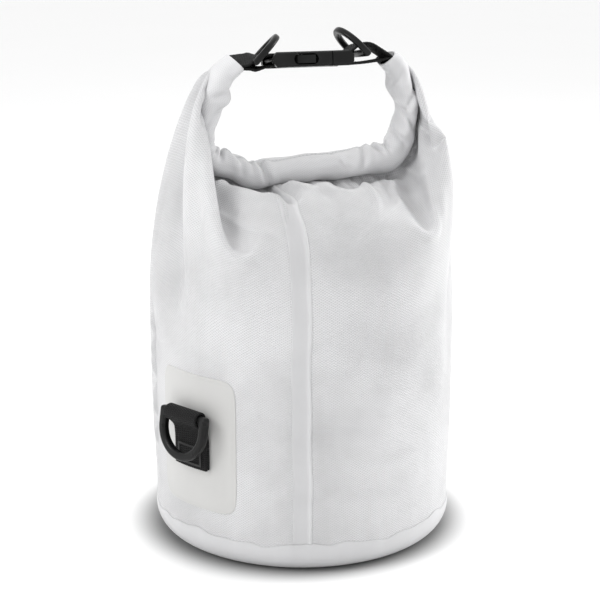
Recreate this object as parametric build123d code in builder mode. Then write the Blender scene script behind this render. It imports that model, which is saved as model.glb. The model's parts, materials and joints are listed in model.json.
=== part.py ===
"""Dry bag: a welded fabric bag whose rolled mouth is bent up and buckled into a carry handle.

The origin is the middle of the base, on the ground. +Z is up, X runs along the rolled mouth, and
the lap seam and the attachment patch face -Y. All sizes are in millimetres.
"""

import os
from math import cos, degrees, radians, sin

from build123d import *

# ---- Bag body ----
body_radius = 85.5
fabric = 0.8
skin_gap = 0.05
base_round = 14.0
base_thickness = 1.2
skirt_height = 22.0
skirt_thickness = 0.6
wall_foot = 14.5
barrel_top = 168.0
shoulder = [(184.0, 87.5, 79.0), (195.0, 87.0, 61.0), (202.6, 70.0, 26.0)]

# ---- Lap seam up the front ----
seam_azimuth = -106.0
seam_width = 13.0
seam_thickness = 0.5
seam_end_gap = 0.3

# ---- Attachment patch with its tab and D-ring ----
patch_azimuth = -150.0
patch_width = 58.0
patch_bottom = 31.0
patch_top = 108.0
patch_corner = 7.0
patch_thickness = 0.8
patch_trim = 1.0
tab_width = 25.4
tab_bottom = 55.0
tab_top = 90.0
tab_thickness = 2.8
webbing = 1.4
tab_fold_overlap = 2.0
stitch = 0.35
stitch_line = 1.2
stitch_inset = 2.0
stitch_side_inset = 3.5
stitch_box_height = 10.0

# ---- D-rings: outer width, outer height, thickness of the moulding ----
patch_ring_size = (36.4, 27.6, 4.8)
loop_ring_size = (30.0, 21.5, 3.6)
ring_clearance = 0.6
ring_stand_off = 0.4
ring_rounding = 0.36
patch_ring_lean = 9.0
loop_ring_lean = 46.0
left_ring_yaw = 8.0
bar_swell = 0.25

# ---- Rolled mouth ----
roll_width = 26.0
roll_bottom = 203.0
roll_top = 217.0
roll_rounding = 4.0
leg_gap = 0.35
leg_root_radius = 7.0
leg_waist_radius = 6.6
leg_tip_radius = 3.6
leg_tip_setback = 7.5
left_pivot = (-48.0, 218.0)
left_waist = (-54.5, 241.0)
left_root = (-38.5, 270.5)
right_pivot = (55.0, 218.0)
right_waist = (58.5, 243.0)
right_root = (48.5, 270.5)
roll_end_reach = 3.0
strip_length = 84.0
strip_width = 14.0
strip_thickness = 1.0
strip_gap = 0.3

# ---- Folded fabric ears between the shoulder and the legs: outlines seen from the front ----
ear_thickness = 5.0
left_ear = [(-86.0, 203.0), (-66.0, 250.0), (-62.0, 248.0), (-62.0, 212.0), (-70.0, 204.0)]
right_ear = [(88.0, 203.0), (69.0, 250.0), (66.0, 248.0), (66.0, 212.0), (72.0, 204.0)]

# ---- Side-release buckle, along X at its own height, rolled back with its loops and rings ----
buckle_height = 271.0
handle_roll = -8.0
buckle_width = 28.0
buckle_thickness = 8.4
buckle_wall = 1.4
buckle_side_wall = 1.8
buckle_round = 2.0
bar_radius = 1.6
bar_inset = 0.9
bar_end_gap = 0.5
bar_slot = 4.4
past_end = 5.0
webbing_width = 20.0
webbing_play = 0.4
root_radius = 1.7
bartack_inset = 2.0
socket_end = -20.0
socket_mouth = 13.4
insert_start = 13.9
insert_end = 26.0
bar_end_chamfer = 2.4
prong_height = 4.4
prong_pivot_x = 15.7
prong_pivot_y = 9.5
prong_root_radius = 1.5
prong_play = 0.3
prong_outline = [
    (15.7, 8.3), (15.7, 10.7), (5.1, 11.4), (4.0, 13.7), (-0.3, 13.8),
    (-5.8, 12.0), (-9.2, 9.2), (-8.4, 7.7), (-3.3, 8.4),
]
tongue_length = 13.0
tongue_root = 0.5
tongue_width = 5.0
tongue_thickness = 2.4
window_start = -8.3
window_end = 5.7
window_height = 6.0

# ---- Places that follow from the sizes above ----
patch_face = body_radius + skin_gap + patch_thickness
tab_face = patch_face + skin_gap + tab_thickness
patch_ring_height = tab_top - webbing - ring_clearance - patch_ring_size[2] / 2
patch_ring_radius = tab_face + patch_ring_size[2] / 2 + ring_stand_off
left_ring_bar = (-27.4, left_root[1])
right_ring_bar = (34.0, 273.4)
left_bar_x = socket_end + bar_radius + bar_inset
right_bar_x = insert_end - bar_radius
left_wells = [(left_bar_x, buckle_height, 2.2), (-29.0, left_root[1], 2.8)]
right_wells = [(right_bar_x, buckle_height, 2.2), (36.0, 273.2, 4.2), (42.0, 271.0, 1.5)]
handle_axis = Axis((0, 0, buckle_height), (1, 0, 0))


def radial_plane(azimuth, radius, height):
    """A plane facing out of the wall: x runs round the bag and y runs up."""
    turn = radians(azimuth)
    outward = Vector(cos(turn), sin(turn), 0)
    around = Vector(-sin(turn), cos(turn), 0)
    return Plane(origin=outward * radius + Vector(0, 0, height), x_dir=around, z_dir=outward)


def arc_band(inner, outer, azimuth, width):
    """The plan outline of a strip that hugs the round wall, added to the current sketch."""
    half = degrees(width / 2 / inner)
    with BuildLine() as outline:
        near = CenterArc((0, 0), inner, azimuth - half, 2 * half)
        far = CenterArc((0, 0), outer, azimuth - half, 2 * half)
        Line(near @ 0, far @ 0)
        Line(near @ 1, far @ 1)
    make_face(outline.edges())


def bag_form(inset):
    """The bag's filled shape inside the current part, drawn in by an inset."""
    mode = Mode.ADD if inset == 0 else Mode.SUBTRACT
    with BuildSketch(Plane.XY.offset(wall_foot)) as barrel:
        Circle(body_radius - inset)
    extrude(barrel.sketch, amount=barrel_top - wall_foot, mode=mode)
    sections = []
    for height, half_width, half_depth in [(barrel_top, body_radius, body_radius)] + shoulder:
        with BuildSketch(Plane.XY.offset(height)) as section:
            Ellipse(half_width - inset, half_depth - inset)
        sections.append(section.sketch)
    for lower, upper in zip(sections, sections[1:]):
        loft([lower, upper], ruled=True, mode=mode)


def finish(part, name):
    """Label a finished piece and write it out."""
    part.part.label = name
    export_step(part.part, f"parts/{name}.step")


def finish_on_handle(part, name):
    """Roll a finished piece about the buckle's long axis, front edge up, label it and write it out."""
    rolled = part.part.rotate(handle_axis, handle_roll)
    rolled.label = name
    export_step(rolled, f"parts/{name}.step")


os.makedirs("parts", exist_ok=True)

# ================= Bag body =================

with BuildPart() as bag_wall:
    bag_form(0)
    bag_form(fabric)

finish(bag_wall, "bag_wall")

with BuildPart() as base_panel:
    outer = body_radius + skin_gap + skirt_thickness
    inner = body_radius + skin_gap
    with BuildSketch(Plane.XZ):
        with BuildLine():
            Line((0, 0), (outer - base_round, 0))
            RadiusArc((outer - base_round, 0), (outer, base_round), -base_round)
            Line((outer, base_round), (outer, skirt_height))
            Line((outer, skirt_height), (inner, skirt_height))
            Line((inner, skirt_height), (inner, base_round))
            RadiusArc((inner, base_round), (outer - base_round, base_thickness), base_round - skirt_thickness)
            Line((outer - base_round, base_thickness), (0, base_thickness))
            Line((0, base_thickness), (0, 0))
        make_face()
    revolve(axis=Axis.Z)

finish(base_panel, "base_panel")

with BuildPart() as side_seam:
    seam_inner = body_radius + skin_gap
    with BuildSketch(Plane.XY.offset(skirt_height + seam_end_gap)):
        arc_band(seam_inner, seam_inner + seam_thickness, seam_azimuth, seam_width)
    extrude(amount=barrel_top - skirt_height - 2 * seam_end_gap)

finish(side_seam, "side_seam")

# ================= Attachment patch =================

with BuildPart() as attachment_patch:
    with BuildSketch(Plane.XY.offset(patch_bottom)):
        arc_band(body_radius + skin_gap, patch_face, patch_azimuth, patch_width)
    extrude(amount=patch_top - patch_bottom)
    outline = radial_plane(patch_azimuth, 0, (patch_bottom + patch_top) / 2)
    with BuildSketch(outline):
        RectangleRounded(patch_width - patch_trim, patch_top - patch_bottom, patch_corner)
    extrude(amount=2 * body_radius, mode=Mode.INTERSECT)

finish(attachment_patch, "attachment_patch")

with BuildPart() as patch_webbing:
    tab_inner = patch_face + skin_gap
    with BuildSketch(Plane.XY.offset(tab_bottom)):
        arc_band(tab_inner, tab_face, patch_azimuth, tab_width)
    extrude(amount=patch_ring_height - tab_bottom - tab_fold_overlap)
    fold_inner = patch_ring_size[2] / 2 + ring_clearance
    side = radial_plane(patch_azimuth, patch_ring_radius, patch_ring_height)
    fold_plane = Plane(origin=side.origin, x_dir=side.z_dir, z_dir=side.x_dir * -1)
    with BuildSketch(fold_plane):
        Circle(fold_inner + webbing)
        with Locations((-patch_ring_radius + tab_inner + tab_thickness / 2, -fold_inner)):
            Rectangle(tab_thickness, 2 * fold_inner)
        Circle(fold_inner, mode=Mode.SUBTRACT)
    extrude(amount=tab_width / 2, both=True)
    with BuildSketch(Plane.XY):
        Circle(tab_inner)
    extrude(amount=2 * tab_top, mode=Mode.SUBTRACT)

finish(patch_webbing, "patch_webbing")

with BuildPart() as patch_stitching:
    stitch_inner = tab_face + skin_gap
    stitch_span = tab_width - 2 * stitch_side_inset
    stitch_bottom = tab_bottom + stitch_inset
    for height in (stitch_bottom, stitch_bottom + stitch_box_height):
        with BuildSketch(Plane.XY.offset(height)):
            arc_band(stitch_inner, stitch_inner + stitch, patch_azimuth, stitch_span)
        extrude(amount=stitch_line)
    for side in (-1, 1):
        with BuildSketch(Plane.XY.offset(stitch_bottom)):
            swing = side * degrees((stitch_span - stitch_line) / 2 / stitch_inner)
            arc_band(stitch_inner, stitch_inner + stitch, patch_azimuth + swing, stitch_line)
        extrude(amount=stitch_box_height + stitch_line)

finish(patch_stitching, "patch_stitching")

# ================= D-rings =================


def d_outline(width, height, bar, inset):
    """Half outline of a D: a straight bar through the origin's x axis and a round bow in +y."""
    half = width / 2 - inset
    foot = inset - bar / 2
    bow = height - bar / 2 - width / 2
    with BuildLine() as outline:
        Line((-half, foot), (half, foot))
        Line((half, foot), (half, bow))
        CenterArc((0, bow), half, 0, 180)
        Line((-half, bow), (-half, foot))
    make_face(outline.edges())


def d_ring(plane, size):
    """A moulded D-ring whose round bar lies on the plane's x axis and whose bow points along its y."""
    width, height, bar = size
    with BuildSketch(plane) as rim:
        d_outline(width, height, bar, 0)
    extrude(rim.sketch, amount=bar / 2, both=True)
    with BuildSketch(plane) as hole:
        d_outline(width, height, bar, bar)
    extrude(hole.sketch, amount=bar, both=True, mode=Mode.SUBTRACT)
    fillet(edges(), bar * ring_rounding)
    with BuildSketch(Plane(origin=plane.origin, z_dir=plane.x_dir)) as round_bar:
        Circle(bar / 2 + bar_swell)
    extrude(round_bar.sketch, amount=width / 2 - bar, both=True)


def leaning_plane(place, yaw, lean, way):
    """A plane with its x axis along a webbing loop's ring bar, and y leaning up over the buckle."""
    turn = radians(yaw)
    tip = radians(lean)
    bar = Vector(sin(turn), cos(turn), 0)
    level = Vector(cos(turn), -sin(turn), 0) * way
    bow = level * cos(tip) + Vector(0, 0, sin(tip))
    return Plane(origin=(place[0], 0, place[1]), x_dir=bar, z_dir=bar.cross(bow))


with BuildPart() as patch_d_ring:
    ring_side = radial_plane(patch_azimuth, patch_ring_radius, patch_ring_height)
    hang = ring_side.y_dir * -cos(radians(patch_ring_lean)) + ring_side.z_dir * sin(radians(patch_ring_lean))
    hang_plane = Plane(origin=ring_side.origin, x_dir=ring_side.x_dir, z_dir=ring_side.x_dir.cross(hang))
    d_ring(hang_plane, patch_ring_size)

finish(patch_d_ring, "patch_d_ring")

with BuildPart() as d_ring_left:
    d_ring(leaning_plane(left_ring_bar, left_ring_yaw, loop_ring_lean, 1), loop_ring_size)

finish_on_handle(d_ring_left, "d_ring_left")

with BuildPart() as d_ring_right:
    d_ring(leaning_plane(right_ring_bar, 0, loop_ring_lean, -1), loop_ring_size)

finish_on_handle(d_ring_right, "d_ring_right")

# ================= Rolled mouth and its two upright ends =================

front_view = Plane.XZ

with BuildPart() as rolled_mouth:
    with BuildSketch(front_view):
        middle = (left_pivot[0] + right_pivot[0]) / 2
        span = right_pivot[0] - left_pivot[0] + 2 * roll_end_reach
        with Locations((middle, (roll_bottom + roll_top) / 2)):
            RectangleRounded(span, roll_top - roll_bottom, roll_rounding)
        for pivot in (left_pivot, right_pivot):
            with Locations(pivot):
                Circle(leg_root_radius + leg_gap, mode=Mode.SUBTRACT)
    extrude(amount=roll_width / 2, both=True)
    cut = strip_thickness + strip_gap
    with BuildSketch(Plane.YZ.offset(middle)):
        with Locations((0, (roll_bottom + roll_top) / 2)):
            Rectangle(strip_width + 2 * strip_gap, 2 * cut + strip_gap)
    extrude(amount=span, both=True, mode=Mode.SUBTRACT)

finish(rolled_mouth, "rolled_mouth")

for name, side in (("stiffener_lower", -1), ("stiffener_upper", 1)):
    with BuildPart(Plane.XY.offset((roll_bottom + roll_top) / 2)) as stiffener:
        with Locations((middle, 0, side * (strip_thickness + strip_gap) / 2)):
            Box(strip_length, strip_width, strip_thickness)
    finish(stiffener, name)


def leg(pivot, waist, root):
    """One upright end of the roll: a rounded foot at the pivot, a waist and a narrow tip."""
    reach = Vector(waist[0] - root[0], waist[1] - root[1])
    tip = Vector(root[0], root[1]) + reach.normalized() * leg_tip_setback
    foot = (pivot, leg_root_radius)
    waist_end = (waist, leg_waist_radius)
    tip_end = ((tip.X, tip.Y), leg_tip_radius)
    for ends in ((foot, waist_end), (waist_end, tip_end)):
        with BuildSketch(front_view) as side_view:
            for place, radius in ends:
                with Locations(place):
                    Circle(radius)
            make_hull()
        extrude(side_view.sketch, amount=roll_width / 2, both=True)


with BuildPart() as roll_leg_left:
    leg(left_pivot, left_waist, left_root)

finish(roll_leg_left, "roll_leg_left")

with BuildPart() as roll_leg_right:
    leg(right_pivot, right_waist, right_root)

finish(roll_leg_right, "roll_leg_right")

with BuildPart() as ear_left:
    with BuildSketch(front_view):
        Polygon(*left_ear, align=None)
    extrude(amount=ear_thickness / 2, both=True)

finish(ear_left, "ear_left")

with BuildPart() as ear_right:
    with BuildSketch(front_view):
        Polygon(*right_ear, align=None)
    extrude(amount=ear_thickness / 2, both=True)

finish(ear_right, "ear_right")

# ================= Webbing loops =================


def webbing_loop(root, wells):
    """A sewn webbing loop in side view: the wells are the round spaces that the loop encloses."""
    half = webbing_width / 2
    for grow, reach, mode in ((webbing, half, Mode.ADD), (0, half + past_end, Mode.SUBTRACT)):
        with BuildSketch(front_view) as loop:
            for x, z, radius in wells:
                with Locations((x, z)):
                    Circle(radius + grow)
            make_hull()
        extrude(loop.sketch, amount=reach, both=True, mode=mode)
    sewn = wells[-1]
    way = 1 if sewn[0] > root[0] else -1
    length = abs(sewn[0] - root[0]) - sewn[2] - webbing / 2
    with BuildSketch(front_view) as end:
        with Locations(root):
            Circle(root_radius)
        with Locations((root[0] + way * length / 2, root[1])):
            Rectangle(length, 2 * webbing)
    extrude(end.sketch, amount=half, both=True)


with BuildPart() as webbing_loop_left:
    webbing_loop(left_root, left_wells)

finish_on_handle(webbing_loop_left, "webbing_loop_left")

with BuildPart() as webbing_loop_right:
    webbing_loop(right_root, right_wells)

finish_on_handle(webbing_loop_right, "webbing_loop_right")

for name, root in (("stitching_left", left_root), ("stitching_right", right_root)):
    with BuildPart() as stitching:
        lift = root_radius + skin_gap + stitch / 2
        for side in (-1, 1):
            with Locations((root[0], 0, root[1] + side * lift)):
                Box(stitch_line, webbing_width - 2 * bartack_inset, stitch)
    finish_on_handle(stitching, name)

# ================= Side-release buckle =================


def buckle_block(start, end, bar_side):
    """A buckle half's outer block, rounded along its length and thinned where its bar is."""
    with BuildSketch(front_view) as block:
        with Locations(((start + end) / 2, buckle_height)):
            Rectangle(end - start, buckle_thickness)
        chamfer(block.vertices().group_by(Axis.X)[bar_side], bar_end_chamfer)
    extrude(block.sketch, amount=buckle_width / 2, both=True)
    fillet(edges().filter_by(Axis.X), buckle_round)


def webbing_bar(x, slot_x):
    """The slot beside a buckle's webbing bar, and the round bar itself, at one end of the block."""
    low = min(x, slot_x) - bar_radius - past_end
    high = max(x, slot_x) + bar_slot / 2
    if slot_x < x:
        low = slot_x - bar_slot / 2
        high = x + bar_radius + past_end
    with BuildSketch(front_view) as slot:
        with Locations(((low + high) / 2, buckle_height)):
            Rectangle(high - low, 2 * buckle_thickness)
    extrude(slot.sketch, amount=webbing_width / 2 + webbing_play, both=True, mode=Mode.SUBTRACT)
    with BuildSketch(front_view) as bar:
        with Locations((x, buckle_height)):
            Circle(bar_radius)
    extrude(bar.sketch, amount=buckle_width / 2 - bar_end_gap, both=True)


with BuildPart() as buckle_socket:
    buckle_block(socket_end, socket_mouth, 0)
    socket_floor = left_bar_x + bar_radius + bar_slot + buckle_wall
    webbing_bar(left_bar_x, left_bar_x + bar_radius + bar_slot / 2)
    with BuildSketch(Plane.YZ.offset(socket_floor)):
        with Locations((0, buckle_height)):
            Rectangle(buckle_width - 2 * buckle_side_wall, buckle_thickness - 2 * buckle_wall)
    extrude(amount=socket_mouth - socket_floor, mode=Mode.SUBTRACT)
    with BuildSketch(front_view):
        with Locations(((window_start + window_end) / 2, buckle_height)):
            SlotOverall(window_end - window_start, window_height)
    extrude(amount=buckle_width, both=True, mode=Mode.SUBTRACT)

finish_on_handle(buckle_socket, "buckle_socket")

with BuildPart() as buckle_insert:
    buckle_block(insert_start, insert_end, -1)
    webbing_bar(right_bar_x, right_bar_x - bar_radius - bar_slot / 2)
    for side in (-1, 1):
        with BuildSketch(Plane.XY.offset(buckle_height)):
            with Locations((prong_pivot_x, side * prong_pivot_y)):
                Circle(prong_root_radius + prong_play)
            with Locations((insert_start, side * prong_pivot_y)):
                Rectangle(2 * (prong_pivot_x - insert_start), 2 * (prong_root_radius + prong_play))
        extrude(amount=prong_height / 2 + prong_play, both=True, mode=Mode.SUBTRACT)
    with Locations((insert_start - tongue_length / 2 + tongue_root, 0, buckle_height)):
        Box(tongue_length + 2 * tongue_root, tongue_width, tongue_thickness)

finish_on_handle(buckle_insert, "buckle_insert")

for name, side in (("buckle_prong_front", -1), ("buckle_prong_back", 1)):
    with BuildPart() as prong:
        with BuildSketch(Plane.XY.offset(buckle_height)):
            with BuildLine():
                Polyline(*[(x, side * y) for x, y in prong_outline], close=True)
            make_face()
            with Locations((prong_pivot_x, side * prong_pivot_y)):
                Circle(prong_root_radius)
        extrude(amount=prong_height / 2, both=True)
    finish_on_handle(prong, name)
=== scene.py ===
"""The looks of the roll-top dry bag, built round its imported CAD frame.

Shapes are worked out in millimetres and become metres as each mesh is written. The fabric is a
simulated cloth: a welded tube, full of air, whose mouth is held flat in the roll.
"""
import json
import math

import bpy
import numpy as np
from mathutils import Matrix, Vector


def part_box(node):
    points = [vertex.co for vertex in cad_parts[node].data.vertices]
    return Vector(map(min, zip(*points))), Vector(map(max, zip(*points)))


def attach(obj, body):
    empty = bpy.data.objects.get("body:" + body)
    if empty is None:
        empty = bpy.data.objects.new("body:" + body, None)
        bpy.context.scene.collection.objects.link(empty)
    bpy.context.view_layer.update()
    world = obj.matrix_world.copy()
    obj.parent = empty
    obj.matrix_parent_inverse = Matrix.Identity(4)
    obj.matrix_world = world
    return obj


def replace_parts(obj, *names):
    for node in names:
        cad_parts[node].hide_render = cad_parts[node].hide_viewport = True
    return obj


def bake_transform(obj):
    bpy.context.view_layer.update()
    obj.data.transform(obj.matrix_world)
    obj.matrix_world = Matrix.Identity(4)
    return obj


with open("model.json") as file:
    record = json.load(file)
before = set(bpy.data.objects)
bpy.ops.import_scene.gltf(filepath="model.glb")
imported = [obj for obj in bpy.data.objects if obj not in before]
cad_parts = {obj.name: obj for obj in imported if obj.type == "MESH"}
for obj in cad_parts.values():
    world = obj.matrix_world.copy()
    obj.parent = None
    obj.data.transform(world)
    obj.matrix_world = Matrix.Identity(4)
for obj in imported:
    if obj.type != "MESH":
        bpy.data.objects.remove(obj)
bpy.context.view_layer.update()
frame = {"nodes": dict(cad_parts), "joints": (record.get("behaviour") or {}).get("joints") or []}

MM = 0.001


def joint(name):
    return [one for one in frame["joints"] if one["name"] == name][0]


def joint_place(name):
    """A joint's place in the row frame, in millimetres."""
    return np.array(joint(name)["pos_m"]) / MM


def node_box(name):
    """A CAD node's lowest and highest corner, in millimetres."""
    low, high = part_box(name)
    return np.array(low) / MM, np.array(high) / MM


# ==== Sizes that come from the frame ====
skirt_stand_off = 0.65
skirt_radius = node_box("base_panel")[1][0]
body_radius = skirt_radius - skirt_stand_off
girth = 2 * math.pi * body_radius
left_root = joint_place("left_webbing_turn")
right_root = joint_place("right_webbing_turn")
roll_low, roll_high = node_box("rolled_mouth")
roll_middle = (roll_low[2] + roll_high[2]) / 2
patch_low, patch_high = node_box("attachment_patch")
tab_bottom = node_box("patch_webbing")[0][2]
socket_low, socket_high = node_box("buckle_socket")
insert_end = node_box("buckle_insert")[1][0]
buckle_middle = (socket_low[2] + socket_high[2]) / 2
handle_axis = joint("left_webbing_turn")["axis"]
handle_roll = -math.atan2(handle_axis[2], -handle_axis[1])
ring_bar = joint_place("patch_ring_swing")
left_ring = joint_place("left_ring_swing")

# ==== Sizes of the looks ====
seam_azimuth = -106.0
patch_azimuth = -150.0
patch_width = 58.0
tab_width = 25.4
strap_width = 20.0
strap_thickness = 1.4
strap_rib = 1.6
foot_height = 14.5
cut_unit = 100.0  # Millimetres of cut fabric in one unit of its UV map.
rng = np.random.default_rng(7)


# ==== Small tools ====


def smooth(t):
    """Eases from 0 to 1 as t goes from 0 to 1."""
    t = np.clip(t, 0, 1)
    return t * t * (3 - 2 * t)


def evenly(line, count):
    """The same line with evenly spaced samples, and its length."""
    steps = np.linalg.norm(np.diff(line, axis=0), axis=1)
    along = np.concatenate([[0], np.cumsum(steps)])
    at = np.linspace(0, along[-1], count)
    return np.stack([np.interp(at, along, line[:, k]) for k in range(line.shape[1])], 1), along[-1]


def curve_through(points, count):
    """A smooth line through the points, as evenly spaced samples, and its length."""
    p = np.array(points, float)
    p = np.vstack([2 * p[0] - p[1], p, 2 * p[-1] - p[-2]])
    t = np.linspace(0, 1, 40, endpoint=False)[:, None]
    runs = []
    for a, b, c, d in zip(p, p[1:], p[2:], p[3:]):
        runs.append(0.5 * (2 * b + (c - a) * t + (2 * a - 5 * b + 4 * c - d) * t**2
                           + (3 * b - a - 3 * c + d) * t**3))
    line = np.vstack(runs + [p[-2][None]])
    return evenly(line, count)


def grid_normals(grid, closed):
    """Unit normals of a grid of points; a closed grid's last column joins its first."""
    if closed:
        across = np.roll(grid, -1, 1) - np.roll(grid, 1, 1)
    else:
        across = np.gradient(grid, axis=1)
    up = np.gradient(grid, axis=0)
    normal = np.cross(across, up)
    return normal / (np.linalg.norm(normal, axis=2, keepdims=True) + 1e-12)


def grid_faces(rows, columns, closed):
    """Quads of a grid whose points are numbered row by row."""
    number = np.arange(rows * columns).reshape(rows, columns)
    if closed:
        number = np.hstack([number, number[:, :1]])
    quads = np.stack([number[:-1, :-1], number[:-1, 1:], number[1:, 1:], number[1:, :-1]], -1)
    return quads.reshape(-1, 4)


def scene_object(name, data):
    thing = bpy.data.objects.new(name, data)
    bpy.context.scene.collection.objects.link(thing)
    return thing


def mesh_object(name, points, faces, material, uv=None, normals=None):
    """A new object from points in millimetres, with smooth faces."""
    mesh = bpy.data.meshes.new(name)
    mesh.from_pydata((np.asarray(points) * MM).tolist(), [], [list(map(int, f)) for f in faces])
    mesh.polygons.foreach_set("use_smooth", [True] * len(mesh.polygons))
    if uv is not None:
        layer = mesh.uv_layers.new(name="cut")
        corner = np.zeros(len(mesh.loops), np.int32)
        mesh.loops.foreach_get("vertex_index", corner)
        layer.data.foreach_set("uv", np.asarray(uv, np.float32)[corner].ravel())
    if normals is not None:
        mesh.normals_split_custom_set_from_vertices(np.asarray(normals).tolist())
    mesh.materials.append(material)
    return scene_object(name, mesh)


def double_rows(grid, closed):
    """A grid with a smoothly interpolated row after each row."""
    if closed:
        before, after, beyond = [np.roll(grid, shift, 0) for shift in (1, -1, -2)]
    else:
        before = np.vstack([2 * grid[:1] - grid[1:2], grid[:-1]])
        after = np.vstack([grid[1:], 2 * grid[-1:] - grid[-2:-1]])
        beyond = np.vstack([after[1:], 2 * after[-1:] - after[-2:-1]])
    finer = np.empty((2 * len(grid),) + grid.shape[1:])
    finer[0::2] = grid
    finer[1::2] = (9 * (grid + after) - before - beyond) / 16
    return finer if closed else finer[:-1]


# ==== Materials ====


class Nodes:
    """A short way to write a material's nodes."""

    def __init__(self, name):
        self.material = bpy.data.materials.new(name)
        self.material.use_nodes = True
        self.tree = self.material.node_tree
        self.shader = self.tree.nodes["Principled BSDF"]

    def add(self, kind, inputs=None, **settings):
        node = self.tree.nodes.new("ShaderNode" + kind)
        for key, value in settings.items():
            setattr(node, key, value)
        for key, value in (inputs or {}).items():
            self.put(node.inputs[key], value)
        return node

    def put(self, socket, value):
        if isinstance(value, bpy.types.NodeSocket):
            self.tree.links.new(value, socket)
        else:
            socket.default_value = value

    def math(self, operation, *values):
        node = self.add("Math", operation=operation)
        for socket, value in zip(node.inputs, values):
            self.put(socket, value)
        return node.outputs[0]

    def shade(self, **values):
        for key, value in values.items():
            self.put(self.shader.inputs[key.replace("_", " ")], value)

    def noise(self, vector, scale, detail=3.0, rough=0.55):
        return self.add("TexNoise", {"Vector": vector, "Scale": scale, "Detail": detail,
                                     "Roughness": rough}).outputs["Fac"]

    def mix(self, amount, first, second):
        node = self.add("Mix", data_type="RGBA")
        self.put(node.inputs[0], amount)
        self.put(node.inputs[6], first)
        self.put(node.inputs[7], second)
        return node.outputs[2]

    def bump(self, height, distance, strength=1.0, under=None):
        node = self.add("Bump", {"Height": height, "Distance": distance, "Strength": strength})
        if under is not None:
            self.put(node.inputs["Normal"], under)
        return node.outputs["Normal"]

    def between(self, value, low, high, to_low=0.0, to_high=1.0):
        return self.add("MapRange", {"Value": value, "From Min": low, "From Max": high,
                                     "To Min": to_low, "To Max": to_high}).outputs[0]


def tinted(grey, tint=(1.0, 1.0, 1.0)):
    return (grey * tint[0], grey * tint[1], grey * tint[2], 1.0)


cool = (0.985, 0.985, 1.0)
warm = (1.0, 0.995, 0.975)


def film(name, light, dark, lattice, tint=cool, roughness=0.42):
    """Frosted coated fabric: a diamond ripstop lattice, milky blotches and a soft plastic sheen."""
    m = Nodes(name)
    place = m.add("NewGeometry").outputs["Position"]
    cut = m.add("TexCoord").outputs["UV"]
    parts = m.add("SeparateXYZ", {"Vector": cut}).outputs
    cloud = m.noise(place, 14.0, 4.0)
    streak_map = m.add("Mapping", {"Vector": place, "Scale": (60.0, 60.0, 7.0)}).outputs[0]
    streak = m.noise(streak_map, 1.0, 3.0)
    grain = m.noise(place, 1900.0, 2.0)
    tone = m.math("ADD", m.math("MULTIPLY", cloud, 0.6), m.math("MULTIPLY", streak, 0.4))
    colour = m.mix(m.between(tone, 0.36, 0.64), tinted(dark, tint), tinted(light, tint))
    height = m.math("MULTIPLY", grain, 0.18)
    if lattice > 0:
        diamond_width, diamond_height = 2.1, 1.4
        across = m.math("MULTIPLY", parts["X"], cut_unit / diamond_width)
        up = m.math("MULTIPLY", parts["Y"], cut_unit / diamond_height)
        threads = []
        for slope in ("ADD", "SUBTRACT"):
            turn = m.math("FRACT", m.math(slope, across, up))
            ridge = m.math("ABSOLUTE", m.math("SUBTRACT", turn, 0.5))
            threads.append(m.between(ridge, 0.26, 0.46))
        net = m.math("MAXIMUM", *threads)
        height = m.math("ADD", height, m.math("MULTIPLY", net, lattice))
        fade = m.between(cloud, 0.38, 0.6, 0.15, 1.0)
        paler = m.math("MULTIPLY", m.math("MULTIPLY", net, fade), 0.5)
        colour = m.mix(paler, colour, tinted(0.86, tint))
    m.shade(Base_Color=colour, Normal=m.bump(height, 0.00022, 0.7),
            Roughness=m.between(streak, 0.3, 0.7, roughness - 0.07, roughness + 0.09),
            Specular_IOR_Level=0.45, Sheen_Weight=0.35, Sheen_Roughness=0.5, Subsurface_Weight=0.25,
            Subsurface_Radius=(0.004, 0.004, 0.004), Subsurface_Scale=1.0)
    return m.material


def woven(name, grey):
    """Black polyester webbing: fine ribs along it and picks across, in its own cut coordinates, with
    painted highlights on its raised picks.
    """
    m = Nodes(name)
    cut = m.add("TexCoord").outputs["UV"]
    parts = m.add("SeparateXYZ", {"Vector": cut}).outputs
    pick_length = 1.1
    across = m.math("MULTIPLY", parts["X"], cut_unit / strap_rib)
    along = m.math("MULTIPLY", parts["Y"], cut_unit / pick_length)
    row = m.math("FLOOR", across)
    stagger = m.math("MULTIPLY", m.math("MODULO", row, 2.0), 0.5)
    pick = m.math("SINE", m.math("MULTIPLY", m.math("ADD", along, stagger), 2 * math.pi))
    fibre = m.noise(m.add("NewGeometry").outputs["Position"], 2600.0, 2.0)
    height = m.math("ADD", m.math("MULTIPLY", pick, 0.5), m.math("MULTIPLY", fibre, 0.7))
    # Painted highlight: the colour is lighter where the weave stands higher on its picks, mixed with random
    # fibre tone.
    painted_highlight_and_fibre_tone = m.between(height, -0.3, 1.1)
    colour = m.mix(painted_highlight_and_fibre_tone, tinted(grey * 0.3), tinted(grey * 2.0, (1.0, 1.0, 1.03)))
    m.shade(Base_Color=colour, Roughness=m.between(fibre, 0.3, 0.7, 0.55, 0.75),
            Normal=m.bump(height, 0.0003, 1.0), Specular_IOR_Level=0.16, Sheen_Weight=0.02,
            Sheen_Roughness=0.4)
    return m.material


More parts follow.
